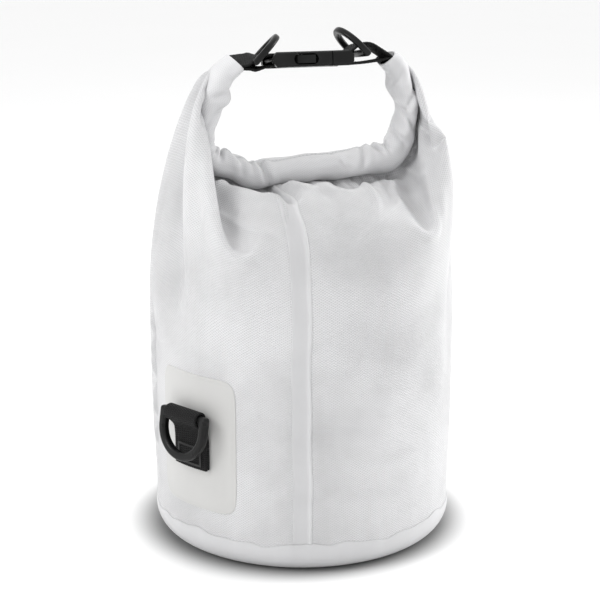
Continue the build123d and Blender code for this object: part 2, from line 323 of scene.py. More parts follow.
def moulded(name, grey, roughness, texture=0.5):
    """Black moulded plastic: fine spark texture, faint flow lines and rubbed lighter patches."""
    m = Nodes(name)
    place = m.add("NewGeometry").outputs["Position"]
    spark = m.noise(place, 1500.0, 3.0)
    flow_map = m.add("Mapping", {"Vector": place, "Scale": (40.0, 190.0, 120.0)}).outputs[0]
    flow = m.noise(flow_map, 1.0, 3.0)
    rub = m.noise(place, 90.0, 4.0)
    colour = m.mix(m.between(rub, 0.45, 0.75), tinted(grey), tinted(grey * 2.1, (1.0, 1.01, 1.04)))
    height = m.math("ADD", m.math("MULTIPLY", spark, texture), m.math("MULTIPLY", flow, 0.25))
    m.shade(Base_Color=colour, Normal=m.bump(height, 0.00006, 0.6), Specular_IOR_Level=0.2,
            Roughness=m.between(flow, 0.3, 0.7, roughness - 0.06, roughness + 0.08))
    return m.material


def thread(name, grey):
    """Bonded sewing thread, twisted from fine filaments."""
    m = Nodes(name)
    place = m.add("NewGeometry").outputs["Position"]
    twist = m.add("TexWave", {"Vector": place, "Scale": 900.0, "Distortion": 2.0},
                  bands_direction="DIAGONAL").outputs["Fac"]
    colour = m.mix(twist, tinted(grey * 0.5), tinted(grey * 2.0))
    m.shade(Base_Color=colour, Roughness=0.55, Normal=m.bump(twist, 0.0001, 0.7))
    return m.material


wall_film = film("wall_film", 0.54, 0.47, 0.9)
roll_film = film("roll_film", 0.60, 0.54, 0.3, roughness=0.48)
base_film = film("base_film", 0.58, 0.52, 0.0, roughness=0.40)
seam_film = film("seam_film", 0.64, 0.59, 0.0, roughness=0.36)
patch_film = film("patch_film", 0.56, 0.52, 0.0, tint=warm, roughness=0.5)
strap_weave = woven("strap_weave", 0.008)
ring_plastic = moulded("ring_plastic", 0.006, 0.30, 0.3)
buckle_plastic = moulded("buckle_plastic", 0.005, 0.36)
strip_plastic = moulded("strip_plastic", 0.5, 0.5)
black_thread = thread("black_thread", 0.012)

# ==== The rolled mouth's line and size ====

left_leg = [(-46, 263), (-51, 253), (-54.5, 243), (-57.5, 232), (-57, 222), (-50, 215.5), (-41, 213)]
right_leg = [(50, 215), (58.5, 224), (61, 236), (60, 249), (55, 262)]
between_legs = [(-31, roll_middle - 2.5), (-18, roll_middle - 1.5), (0, roll_middle), (36, roll_middle + 2)]
mouth_points = ([(left_root[0], left_root[2])] + left_leg + between_legs + right_leg
                + [(right_root[0], right_root[2])])
mouth_samples = 801
mouth_line, mouth_length = curve_through(mouth_points, mouth_samples)
heading = np.gradient(mouth_line, axis=0)
heading /= np.linalg.norm(heading, axis=1)[:, None]
outward = np.stack([heading[:, 1], -heading[:, 0]], 1)

roll_half_height = 7.2
roll_half_depth = 12.6


# ==== Cloth ====

ply_gap = 0.8
left_tip_bare, right_tip_bare = 9.0, 6.0
entry_depth, tip_entry_depth = 6.0, 4.0
tip_run = 40.0


def mouth_row(columns):
    """Where each column of the cloth enters the roll: under its middle and outside its two ends."""
    along = np.linspace(0, mouth_length, mouth_samples)
    edge = np.minimum(along, mouth_length - along)
    set_back = tip_entry_depth + (entry_depth - tip_entry_depth) * np.clip(edge / tip_run, 0, 1)
    line = mouth_line + outward * set_back[:, None]
    line = line[(along >= left_tip_bare) & (along <= mouth_length - right_tip_bare)]
    half = columns // 2
    entry, _ = evenly(line, half + 1)
    row = np.zeros((columns, 3))
    row[:half + 1, 0::2] = entry
    row[half:, 0::2] = entry[::-1][:columns - half]
    row[1:half, 1] = -ply_gap
    row[half + 1:, 1] = ply_gap
    return row


front_cut = 272.0
left_cut = 284.0
right_cut = 276.0
cut_power = 1.5
shoulder_height = 184.0
slack = 3.0
taut_share = 0.9


def turns(columns):
    """Each column's azimuth, from the left round past the front."""
    return math.pi + 2 * math.pi * np.arange(columns) / columns


def ring(columns, height):
    """The cloth's columns at one height of the straight tube."""
    turn = turns(columns)
    return np.stack([body_radius * np.cos(turn), body_radius * np.sin(turn), 0 * turn + height], 1)


def cut_heights(columns):
    """Height of the fabric's cut in each column, from the base to the roll, part drawn into pleats."""
    side = np.cos(turns(columns))
    ends = np.where(side < 0, left_cut, right_cut)
    cut = front_cut + (ends - front_cut) * np.abs(side) ** cut_power
    shoulder = ring(columns, shoulder_height)
    taut = shoulder_height + np.linalg.norm(mouth_row(columns) - shoulder, axis=1)
    return cut + taut_share * np.minimum(taut + slack - cut, 0)


# Ridges of the pleats that were folded in when the bag was closed, from one end to the other:
# distance round the cloth from the left fold, height up the cloth, and where that point rests.
pleats = [
    ((20, 241), (-70.5, -15, 243), (46, 212), (-72, -37, 211)),
    ((244, 246), (67, -13, 236), (226, 234), (74, -28, 211)),
]


def ring_start(columns, rows):
    """The cloth before it settles: a straight tube that closes to the roll."""
    turn = turns(columns)
    closing_height = 180.0
    out_left, out_front, rise = 6, 12, 4
    straight = closing_height - foot_height
    share = straight / (cut_heights(columns).max() - foot_height)
    top = mouth_row(columns)
    swell = np.stack([out_left * np.cos(turn), out_front * np.sin(turn), rise * np.abs(np.sin(turn))], 1)
    grid = np.zeros((rows, columns, 3))
    for row, t in enumerate(np.linspace(0, 1, rows)):
        grid[row] = ring(columns, foot_height + straight * min(t / share, 1))
        if t > share:
            s = (t - share) / (1 - share)
            grid[row] = grid[row] * (1 - s) + top * s + np.sin(math.pi * s) * swell
    grid[1:-1] += rng.normal(0, 0.4, grid[1:-1].shape)
    return grid


def resample(grid, columns, rows):
    """The same cloth on a finer grid."""
    old_rows, old_columns = grid.shape[:2]
    at = np.linspace(0, old_columns, columns, endpoint=False)
    first = np.floor(at).astype(int)
    part = (at - first)[:, None]
    wide = grid[:, first % old_columns] * (1 - part) + grid[:, (first + 1) % old_columns] * part
    at = np.linspace(0, old_rows - 1, rows)
    first = np.minimum(np.floor(at).astype(int), old_rows - 2)
    part = (at - first)[:, None, None]
    return wide[first] * (1 - part) + wide[first + 1] * part


class Springs:
    """One set of cloth threads that share no point, so that they can all be eased at once."""

    def __init__(self, a, b, rest, stiffness, push_only, mobile):
        a, b, rest = a.ravel(), b.ravel(), rest.ravel()
        total = mobile[a] + mobile[b]
        live = total > 0
        self.a, self.b, self.rest = a[live], b[live], rest[live]
        self.share_a = (mobile[self.a] / total[live])[:, None]
        self.share_b = (mobile[self.b] / total[live])[:, None]
        self.stiffness = stiffness
        self.push_only = push_only

    def ease(self, points):
        gap = points[self.b] - points[self.a]
        length = np.sqrt(np.einsum("ij,ij->i", gap, gap)) + 1e-12
        error = (length - self.rest) / length
        if self.push_only:
            error = np.minimum(error, 0)
        move = gap * (self.stiffness * error)[:, None]
        points[self.a] += move * self.share_a
        points[self.b] -= move * self.share_b


def cloth_springs(number, around, up, mobile, bending):
    """The warp, weft, diagonal and bending threads of a closed grid, in independent sets."""
    rows, columns = number.shape
    rise = np.tile(up, (rows, 1))
    wide = np.tile(around[:, None], (1, columns))
    sets = []

    def add(a, b, rest, stiffness, push_only=False):
        sets.append(Springs(a, b, rest, stiffness, push_only, mobile))

    for start in (0, 1):
        some = np.arange(start, columns, 2)
        add(number[:, some], number[:, (some + 1) % columns], wide[:, some], 1.0)
        some = np.arange(start, rows - 1, 2)
        add(number[some], number[some + 1], rise[some], 1.0)
        slant = np.hypot(wide[some], rise[some])
        for side in (-1, 1):
            add(number[some], np.roll(number, side, 1)[some + 1], slant, 0.3)
    for pair in ((0, 1), (2, 3)):
        some = np.array([c for c in range(columns) if c % 4 in pair])
        add(number[:, some], number[:, (some + 2) % columns], 2 * wide[:, some], bending, True)
        some = np.array([r for r in range(rows - 2) if r % 4 in pair])
        add(number[some], number[some + 2], 2 * rise[some], bending, True)
    return sets


def clear_of_roll(points, near):
    """Moves the given points out of the roll's oval section."""
    line = mouth_line[::12]
    p = points[near]
    gap = p[:, None, 0::2] - line[None]
    square = np.einsum("ijk,ijk->ij", gap, gap)
    nearest = square.argmin(1)
    offset = gap[np.arange(len(near)), nearest]
    size = np.sqrt(square[np.arange(len(near)), nearest] / roll_half_height**2
                   + (p[:, 1] / roll_half_depth) ** 2)
    inside = size < 1
    grow = np.clip(1 / (size[inside] + 1e-6), 1, 1.15)
    hit = near[inside]
    points[hit, 0::2] = line[nearest[inside]] + offset[inside] * grow[:, None]
    points[hit, 1] *= grow


pull_share = 0.04
pleat_spread = 5.0
pleat_steps = 7
flare = 0.035  # How much wider the cloth is cut at the mouth than at the foot.
flare_start, flare_run = 100.0, 80.0
speed_kept = 0.9
fold_kept = 0.9
flat_above = 175.0
near_roll_from = 0.62  # The share of the rows below those that can touch the roll.
under_roll = (-44.0, 46.0)


def pleat_pulls(free, arc, height):
    """For places along each pleat's ridge: the points it pulls, how much, and where to."""
    pulls = []
    for first, first_place, last, last_place in pleats:
        for t in np.linspace(0, 1, pleat_steps):
            pleat_arc, pleat_height = np.array(first) * (1 - t) + np.array(last) * t
            away = (arc - pleat_arc) ** 2 + (height - pleat_height) ** 2
            reach = np.exp(-away / (2 * pleat_spread**2)).ravel()
            held = np.where((reach > 0.3) & free)[0]
            place = np.array(first_place) * (1 - t) + np.array(last_place) * t
            pulls.append((held, reach[held][:, None], place))
    return pulls


def settle(grid, steps, pressure, bending, held_for):
    """Lets the cloth settle: air pressure inside, its mouth and foot held, its pleats set."""
    rows, columns = grid.shape[:2]
    across = girth / columns
    up = (cut_heights(columns) - foot_height) / (rows - 1)
    number = np.arange(rows * columns).reshape(rows, columns)
    points = grid.reshape(-1, 3).copy()
    speed = np.zeros_like(points)
    row, column = np.divmod(number.ravel(), columns)
    free = (row > 0) & (row < rows - 1)
    around = across * (1 + flare * smooth((up.mean() * np.arange(rows) - flare_start) / flare_run))
    sets = cloth_springs(number, around, up, free.astype(float), bending)
    high_rows = number[int(rows * near_roll_from):-2].ravel()
    front = (column > 0) & (column < columns // 2) & free
    back = (column > columns // 2) & free
    folds = ((column == 0) | (column == columns // 2)) & free
    arc = np.tile(np.arange(columns) * across, (rows, 1))
    height = foot_height + np.arange(rows)[:, None] * up[None]
    pulls = pleat_pulls(free, arc, height)
    for step in range(steps):
        normal = grid_normals(points.reshape(rows, columns, 3), True)
        speed = speed * speed_kept + normal.reshape(-1, 3) * pressure
        speed[~free] = 0
        old = points.copy()
        points += speed
        if step < held_for:
            for held, reach, place in pulls:
                middle = (points[held] * reach).sum(0) / reach.sum()
                points[held] += pull_share * (place - middle) * reach
        for springs in sets:
            springs.ease(points)
        # The front and the back don't pass through each other, nor either through the roll.
        high = points[:, 2] > flat_above
        points[front & high, 1] = np.minimum(points[front & high, 1], -ply_gap)
        points[back & high, 1] = np.maximum(points[back & high, 1], ply_gap)
        points[folds, 1] *= fold_kept
        clear_of_roll(points, high_rows)
        x, y, _ = points.T
        under = free & (np.abs(y) < 14) & (x > under_roll[0]) & (x < under_roll[1])
        points[under, 2] = np.minimum(points[under, 2], roll_low[2] + 1)
        speed = points - old
    return points.reshape(rows, columns, 3)


# Columns, rows, steps, pressure, bending and the steps that the pleats are held for.
levels = [(68, 35, 1200, 0.004, 0.08, 1100), (136, 69, 400, 0.001, 0.12, 60),
          (208, 105, 160, 0.0006, 0.2, 0)]
cloth = None
for columns, rows, steps, pressure, bending, held_for in levels:
    if cloth is None:
        cloth = ring_start(columns, rows)
    else:
        cloth = resample(cloth, columns, rows)
    cloth[0] = ring(columns, foot_height)
    cloth[-1] = mouth_row(columns)
    cloth = settle(cloth, steps, pressure, bending, held_for)

cloth = double_rows(cloth, False)
cloth = double_rows(cloth.swapaxes(0, 1), True).swapaxes(0, 1)
cloth_rows, cloth_columns = cloth.shape[:2]
cloth_arc = np.tile(np.arange(cloth_columns) * girth / cloth_columns, (cloth_rows, 1))
cloth_height = (foot_height + np.linspace(0, 1, cloth_rows)[:, None]
                * (cut_heights(cloth_columns) - foot_height)[None])

# The stiff welded patch and the base's weld keep the wall round beside them.
patch_arc = math.radians(patch_azimuth + 180) * body_radius
patch_middle = (patch_low[2] + patch_high[2]) / 2
patch_tall = patch_high[2] - patch_low[2]
held_margin, foot_margin, hold_fade = 2.0, 6.0, 50.0
from_patch = np.maximum(np.abs(cloth_arc - patch_arc) - patch_width / 2,
                        np.abs(cloth_height - patch_middle) - patch_tall / 2)
from_held = np.minimum(from_patch, cloth_height - foot_height - foot_margin)
hold = 1 - smooth((from_held - held_margin) / hold_fade)
azimuth = math.pi + cloth_arc / body_radius
round_wall = np.stack([body_radius * np.cos(azimuth), body_radius * np.sin(azimuth), cloth_height], 2)
cloth += (round_wall - cloth) * hold[:, :, None]

# Sharp creases in the coated fabric: from one place to another in cut coordinates (distance round
# the cloth, height up it), how far they stand out, and their width.
wrinkles = [
    ((100, 262), (106, 214), 1.5, 1.7), ((105, 258), (112, 216), -1.6, 4.0),
    ((88, 256), (72, 224), 1.0, 2.4), ((80, 262), (60, 236), -1.1, 3.2),
    ((118, 262), (124, 236), 0.9, 2.0), ((150, 262), (146, 232), 0.9, 2.2),
    ((160, 262), (168, 236), -1.1, 2.8), ((166, 262), (158, 214), 1.2, 2.2),
    ((178, 262), (182, 240), 1.0, 2.0), ((188, 260), (172, 222), -1.3, 3.4),
    ((196, 258), (204, 226), 0.9, 2.2), ((128, 250), (133, 222), -0.7, 2.6),
    ((66, 216), (92, 196), 0.7, 2.6), ((176, 214), (148, 190), 0.7, 3.0),
    ((216, 222), (198, 190), -0.8, 3.4), ((36, 204), (56, 176), -0.6, 3.4),
    ((330, 258), (336, 220), 1.2, 2.2), ((372, 260), (362, 216), -1.2, 3.0),
    ((410, 262), (414, 224), 1.2, 2.2), ((450, 258), (462, 222), -1.2, 3.0),
]
wrinkle_share = 1.7
wrinkle_run = 1.4  # Each crease runs on past its second place and fades out.
wander_size, wander_length = 1.2, 6.5
for first, last, rise, width in wrinkles:
    run = wrinkle_run * (np.array(last, float) - first)
    length = np.linalg.norm(run)
    run /= length
    offset = np.stack([cloth_arc - first[0], cloth_height - first[1]], 2)
    along = offset @ run
    aside = offset @ np.array([-run[1], run[0]]) - wander_size * np.sin(along / wander_length)
    fade = smooth((along + 6) / 10) * smooth((length + 4 - along) / (0.35 * length))
    out = wrinkle_share * rise * fade * np.exp(-(aside / width) ** 2)
    cloth += out[:, :, None] * grid_normals(cloth, True)
cloth_normal = grid_normals(cloth, True)


def on_cloth(arc, height, lift):
    """Points that lie on the cloth at distances round and up it, raised off it by a lift."""
    cut = np.interp(arc % girth, cloth_arc[0], cloth_height[-1], period=girth)
    row = (height - foot_height) / (cut - foot_height) * (cloth_rows - 1)
    row = np.clip(row, 0, cloth_rows - 1.001)
    column = (arc % girth) / girth * cloth_columns
    r, c = np.floor(row).astype(int), np.floor(column).astype(int)
    fr, fc = (row - r)[..., None], (column - c)[..., None]
    c, d = c % cloth_columns, (c + 1) % cloth_columns

    def sample(grid):
        low = grid[r, c] * (1 - fc) + grid[r, d] * fc
        high = grid[r + 1, c] * (1 - fc) + grid[r + 1, d] * fc
        return low * (1 - fr) + high * fr

    normal = sample(cloth_normal)
    normal /= np.linalg.norm(normal, axis=-1, keepdims=True)
    place = sample(cloth)
    low = height < foot_height
    place[..., 2] = np.where(low, height, place[..., 2])
    return place + normal * np.asarray(lift)[..., None]


# ==== Bag wall ====

# The wall's two lowest rows, turned in under the base's edge: height and inset.
foot_rows = [(3.9, 4.9), (8.5, 1.6)]
feet = []
for height, inset in foot_rows:
    foot = cloth[0] * (1 - inset / body_radius)
    foot[:, 2] = height
    feet.append(foot)
wall = np.concatenate([np.array(feet), cloth])
wall_rows = len(wall)
wall_normal = grid_normals(wall, True)
wall_height = np.vstack([np.tile(np.array(foot_rows)[:, :1], (1, cloth_columns)), cloth_height])

seam_arc = math.radians(seam_azimuth + 180) * body_radius
seam_column = int(round(seam_arc / girth * cloth_columns))
back_column = int(round(0.75 * cloth_columns))


def wall_half(name, first, last, nodes):
    """One side of the wall, from one column round to another, with its top edge along its leg of the roll.
    """
    columns = np.arange(first, last + 1)
    around = columns % cloth_columns
    points = wall[:, around].reshape(-1, 3)
    normals = wall_normal[:, around].reshape(-1, 3)
    arcs = np.tile(columns * girth / cloth_columns, (wall_rows, 1))
    uv = np.stack([arcs, wall_height[:, around]], 2).reshape(-1, 2) / cut_unit
    faces = grid_faces(wall_rows, len(columns), False)
    half = mesh_object(name, points, faces, wall_film, uv, normals)
    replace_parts(half, *nodes)
    bend(half)


def bend(piece):
    """Bakes a piece's transform into its mesh."""
    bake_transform(piece)


wall_half("wall_left", back_column - cloth_columns, seam_column, ["bag_wall", "ear_left"])
wall_half("wall_right", seam_column, back_column, ["ear_right"])

# ==== Welded base ====


def welded_base():
    """The round base with its rounded edge and turned-up skirt, wavy along the skirt's top."""
    columns = 288
    turn = np.linspace(0, 2 * math.pi, columns, endpoint=False)
    level = np.ones(columns)
    wave = (0.5 * np.sin(7 * turn + 1) + 0.35 * np.sin(17 * turn + 2) + 0.25 * np.sin(31 * turn))
    skirt_top = 17.5 + 1.8 * wave
    corner = 14.0
    skin = 1.1
    outer = skirt_radius - 0.1
    underside, inside = 0.35, 1.5

    def edge_arc(radius, angles):
        """The rounded edge: its distance out and its height at each angle up from below."""
        return [((outer - corner + radius * math.sin(a)) * level, (corner - radius * math.cos(a)) * level)
                for a in angles]

    profile = [(r * level, underside * level) for r in (0.02, 20, 40, 58)]
    profile += edge_arc(corner, np.linspace(0, math.pi / 2, 13))
    for t, thinned in ((0.35, 0.0), (0.7, 0.12), (0.93, 0.3), (1.0, 0.45)):
        profile.append((outer - thinned + 0.08 * wave * t, corner + (skirt_top - corner) * t))
    profile.append(((outer - skin) * level, skirt_top - 1.5))
    profile.append(((outer - skin) * level, corner * level))
    profile += edge_arc(corner - skin, np.linspace(math.pi / 2, 0, 6))
    profile += [(r * level, inside * level) for r in (58, 40, 0.02)]
    grid = np.array([np.stack([r * np.cos(turn), r * np.sin(turn), z], 1) for r, z in profile])
    arcs = np.tile(turn * body_radius, (len(profile), 1))
    heights = np.array([z for _, z in profile])
    uv = np.stack([arcs, heights], 2).reshape(-1, 2) / cut_unit
    base = mesh_object("welded_base", grid.reshape(-1, 3), grid_faces(len(profile), columns, True),
                       base_film, uv)
    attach(base, "bag")
    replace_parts(base, "base_panel")


welded_base()


# ==== Strips welded on the wall ====


def film_piece(name, arcs, heights, lift, under, closed, material):
    """A film on the cloth, from a grid of places, with its face and back lifted off the cloth.

    A closed grid runs round its middle, with its last row as the rim.
    """
    top = on_cloth(arcs, heights, lift)
    bottom = on_cloth(arcs, heights, np.full_like(arcs, under))
    rows, columns = arcs.shape
    count = rows * columns
    number = np.arange(count).reshape(rows, columns)
    quads = grid_faces(rows, columns, closed)
    rim = number[-1]
    if closed:
        quads = quads[:, ::-1]
    else:
        rim = np.concatenate([number[0, :], number[1:, -1], rim[-2::-1], number[-2:0:-1, 0]])
    after = np.roll(rim, -1)
    sides = np.stack([rim, after, after + count, rim + count], 1)[:, ::-1]
    faces = np.vstack([quads, quads[:, ::-1] + count, sides])
    points = np.vstack([top.reshape(-1, 3), bottom.reshape(-1, 3)])
    uv = np.stack([arcs, heights], 2).reshape(-1, 2) / cut_unit
    piece = mesh_object(name, points, faces, material, np.vstack([uv, uv]))
    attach(piece, "bag")
    return piece


def seam_band():
    """The welded lap: a flat band with a raised bead along one edge and a pressed line beside it."""
    profile = [(-5.2, 0.06), (-4.8, 0.14), (-3, 0.16), (0, 0.15), (2.2, 0.16), (3.0, 0.26),
               (3.6, 0.44), (4.4, 0.48), (5.0, 0.34), (5.3, 0.08)]
    offsets, rises = np.array(profile).T
    bottom, rows = 18.0, 190
    top = np.interp(seam_arc, cloth_arc[0], cloth_height[-1]) - 1.5
    heights = np.linspace(bottom, top, rows)[:, None]
    wander = 0.5 * np.sin(heights / 23) + 0.25 * np.sin(heights / 7.3 + 1)
    arcs = seam_arc + offsets[None] + wander
    lift = rises[None] * (1 + 0.12 * np.sin(heights / 4.1))
    piece = film_piece("seam_band", arcs, heights + 0 * arcs, lift, 0.05, False, seam_film)
    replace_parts(piece, "side_seam")


def side_patch():
    """The smooth attachment patch, with rounded corners and a pressed weld line inside its edge."""
    turn = np.linspace(0, 2 * math.pi, 176, endpoint=False)
    squareness = 9.0
    reach = (np.abs(np.cos(turn)) ** squareness + np.abs(np.sin(turn)) ** squareness) ** (-1 / squareness)
    across = patch_width / 2 * reach * np.cos(turn)
    up = patch_tall / 2 * reach * np.sin(turn)
    flat_rings, thickness = 8, 0.42
    edge_insets, edge_rises = np.array([(0.9, thickness), (0.93, 0.36), (0.95, 0.30), (0.97, 0.36),
                                        (0.985, 0.40), (0.995, 0.30), (1.0, 0.08)]).T
    inset = np.concatenate([np.linspace(0.001, 0.86, flat_rings), edge_insets])
    rise = np.concatenate([np.full(flat_rings, thickness), edge_rises])
    arcs = patch_arc + inset[:, None] * across[None]
    heights = patch_middle + inset[:, None] * up[None]
    piece = film_piece("side_patch", arcs, heights, rise[:, None], 0.04, True, patch_film)
    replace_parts(piece, "attachment_patch")


seam_band()
side_patch()

# ==== Rolled mouth ====


roll_rows, roll_columns = 640, 128
oval_power = 2.5
wind_step = 0.75


def roll_ripples(s, a):
    """Small uneven waves in the rolled fabric, along it and round it."""
    ripple = np.zeros(s.shape[:1] + a.shape[1:])
    for _ in range(26):
        long_wave = rng.uniform(0.05, 0.42)
        round_wave = rng.integers(-3, 4)
        size = rng.uniform(0.12, 0.42) / (1 + long_wave * 3)
        ripple += size * np.sin(long_wave * s + round_wave * a + rng.uniform(0, 6.28))
    return ripple


def roll_creases(s, a, length):
    """How far the pinched folds go in, less the fabric that they push up on both sides."""
    crease = np.zeros(s.shape[:1] + a.shape[1:])
    for place, angle, depth, wide, tilt in creases(length):
        off = s - place - tilt * np.sin(a - angle)
        away = (np.cos(a - angle) - 1) ** 2
        crease -= depth * np.exp(-(off / wide) ** 2) * np.exp(-away / 0.55**2)
        shoulders = (np.abs(off) - 2.2 * wide) / (1.3 * wide)
        crease += 0.45 * depth * np.exp(-shoulders**2) * np.exp(-away / 0.6**2)
    return crease


def roll_grid():
    """The rolled fabric as a grid: rows along the roll, columns round its oval, spiral section."""
    line, length = evenly(mouth_line, roll_rows)
    along = np.linspace(0, length, roll_rows)
    way = np.gradient(line, axis=0)
    way /= np.linalg.norm(way, axis=1)[:, None]
    side = np.stack([way[:, 1], -way[:, 0]], 1)
    turn = np.linspace(0, 2 * math.pi, roll_columns, endpoint=False)
    s, a = along[:, None], turn[None]
    edge = np.minimum(along, length - along)
    middle_part = smooth((edge - 62) / 26)
    tip_high = 5.4
    leg_high = 7.0 + 1.3 * np.sin(along / 19 + 0.6) + 0.7 * np.sin(along / 8.3)
    high = tip_high + (leg_high - tip_high) * smooth(edge / 26)
    high = high + (roll_half_height - high) * middle_part
    deep = 11.0 + 1.2 * smooth(edge / 34) + 0.4 * middle_part
    lap = 2.1 + 1.2 * np.sin(s / 60)
    spiral = wind_step * (((a - lap) / (2 * math.pi)) % 1 - 0.5)
    calm = 1 - 0.55 * middle_part[:, None]
    grow = spiral + roll_ripples(s, a) * calm + roll_creases(s, a, length)
    oval = (np.abs(np.cos(a)) ** oval_power + np.abs(np.sin(a)) ** oval_power) ** (-1 / oval_power)
    in_plane = (high[:, None] * oval + grow) * np.cos(a)
    grid = np.zeros((roll_rows, roll_columns, 3))
    grid[:, :, 0] = line[:, :1] + side[:, :1] * in_plane
    grid[:, :, 1] = (deep[:, None] * oval + grow) * np.sin(a)
    grid[:, :, 2] = line[:, 1:] + side[:, 1:] * in_plane
    uv = np.stack([s + 0 * a, a * 10 + 0 * s], 2) / cut_unit
    return grid, uv


def creases(length):
    """Pinched folds across the roll: distance along it, angle round it, depth, width, slant."""
    inner = math.pi
    front = -math.pi / 2
    return [
        (56, inner, 1.6, 2.0, 2), (64, inner, 1.9, 1.7, -2), (74, inner + 0.5, 1.5, 1.6, 3),
        (47, inner, 0.9, 1.9, 3), (18, front - 0.5, 0.9, 2.4, 6), (33, front - 0.3, 1.1, 2.6, 8),
        (92, inner + 1.0, 2.6, 1.8, 1),
        (length - 60, inner, 1.8, 2.0, -2), (length - 68, inner, 1.5, 1.8, 2),
        (length - 48, inner + 0.5, 1.6, 2.0, -4), (length - 36, front - 0.4, 1.6, 2.2, -8),
        (length - 26, front, 1.0, 2.4, 8), (length - 78, inner + 0.6, 1.1, 1.8, -3),
        (length - 92, inner + 1.0, 0.8, 1.8, 4), (length - 14, front - 0.7, 0.8, 2.0, 6),
    ]


def roll_ends(grid, uv):
    """Closes both ends of the roll with a thin rolled-in lip round a shallow hollow."""
    lip = ((0.97, 0.35), (0.90, 0.5), (0.84, 0.2), (0.80, -1.6), (0.5, -2.4), (0.02, -2.5))
    caps = []
    for end, inward in ((0, 1), (-1, -2)):
        rim = grid[end]
        middle = rim.mean(0)
        out = (rim - grid[inward]).mean(0)
        out /= np.linalg.norm(out)
        caps.append(np.array([middle + (rim - middle) * shrink + out * beyond for shrink, beyond in lip]))
    grid = np.concatenate([caps[0][::-1], grid, caps[1]])
    count = len(lip)
    return grid, np.concatenate([np.repeat(uv[:1], count, 0), uv, np.repeat(uv[-1:], count, 0)])


def roll_half(name, grid, uv, normals, first, last):
    """Half of the roll, with its upright end."""
    rows = slice(first, last + 1)
    points = grid[rows].reshape(-1, 3)
    half = mesh_object(name, points, grid_faces(last + 1 - first, grid.shape[1], True)[:, ::-1],
                       roll_film, uv[rows].reshape(-1, 2), normals[rows].reshape(-1, 3))
    bend(half)
    return half


roll, roll_uv = roll_ends(*roll_grid())
roll_normal = -grid_normals(roll, True)
cut_row = len(roll) // 2
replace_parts(roll_half("roll_left", roll, roll_uv, roll_normal, 0, cut_row),
            "rolled_mouth", "roll_leg_left")
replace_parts(roll_half("roll_right", roll, roll_uv, roll_normal, cut_row, len(roll) - 1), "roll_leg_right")

# ==== Webbing ====


def length_of(line):
    return np.linalg.norm(np.diff(np.array(line, float), axis=0), axis=1).sum()


def strap(name, line, width, place):
    """A woven strap with ribs along it, along a line of places given by reach and height.

    place turns arrays of reach, distance across and height into points of the row frame.
    """
    columns = int(width / strap_rib) * 6 + 1
    spacing, edge_round = 0.6, 0.7
    line = np.array(line, float)
    line, length = evenly(line, max(40, int(length_of(line) / spacing)))
    way = np.gradient(line, axis=0)
    way /= np.linalg.norm(way, axis=1)[:, None]
    side = np.stack([-way[:, 1], way[:, 0]], 1)
    across = np.linspace(-width / 2, width / 2, columns)
    edge = np.clip((width / 2 - np.abs(across)) / edge_round, 0, 1)
    half = strap_thickness / 2 * np.sqrt(np.clip(1 - (1 - edge) ** 2, 0.02, 1))
    rows = len(line)
    along = np.linspace(0, length, rows)
    ribs = 0.16 * np.abs(np.sin(math.pi * across / strap_rib)) - 0.08
    picks = 0.05 * np.sin(2 * math.pi * along / 1.9)
    rise = half[None] + (ribs[None] + picks[:, None]) * edge[None]
    section = np.concatenate([across, across[::-1]])
    rises = np.concatenate([rise, -rise[:, ::-1]], 1)
    grid = place(line[:, :1] + side[:, :1] * rises, np.tile(section, (rows, 1)),
                 line[:, 1:] + side[:, 1:] * rises)
    caps = [np.tile(g.mean(0), (len(section), 1)) * 0.98 + g * 0.02 for g in (grid[0], grid[-1])]
    grid = np.concatenate([caps[0][None], grid, caps[1][None]])
    along = np.concatenate([[0], along, [length]])
    uv = np.stack(np.broadcast_arrays(section[None], along[:, None]), 2).reshape(-1, 2) / cut_unit
    piece = mesh_object(name, grid.reshape(-1, 3), grid_faces(len(grid), len(section), True),
                        strap_weave, uv)
    return piece


def on_handle(twist=None):
    """Places a strap in the rolled-back handle; twist gives its extra turn, by place along X."""
    def place(x, y, z):
        angle = handle_roll + (twist(x) if twist else 0 * x)
        rise = z - buckle_middle
        return np.stack([x, y * np.cos(angle) - rise * np.sin(angle),
                         buckle_middle + y * np.sin(angle) + rise * np.cos(angle)], -1)
    return place


def on_patch(reach, across, height):
    """Places a strap on the patch: it hugs the round wall low down and is straight at the ring."""
    azimuth = math.radians(patch_azimuth)
    hug_top, hug_fade = ring_bar[2] - 16, 12
    hug = 1 - smooth((height - hug_top) / hug_fade)
    out = reach - hug * across**2 / (2 * body_radius)
    return np.stack([out * math.cos(azimuth) - across * math.sin(azimuth),
                     out * math.sin(azimuth) + across * math.cos(azimuth), height], -1)


def arc_points(centre, radius, start, end, count=14):
    """Places round a centre, from one angle to another, in degrees."""
    angles = np.radians(np.linspace(start, end, count))
    return [(centre[0] + radius * math.cos(a), centre[1] + radius * math.sin(a)) for a in angles]


bar_radius = 1.6
bar_inset = 0.9
left_bar = (socket_low[0] + bar_radius + bar_inset, buckle_middle)
right_bar = (insert_end - bar_radius, buckle_middle)
wrap = 2.2 + strap_thickness / 2
tab_face = body_radius + 3.7


def follow_root(piece):
    """Bakes a loop's transform into its mesh."""
    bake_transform(piece)


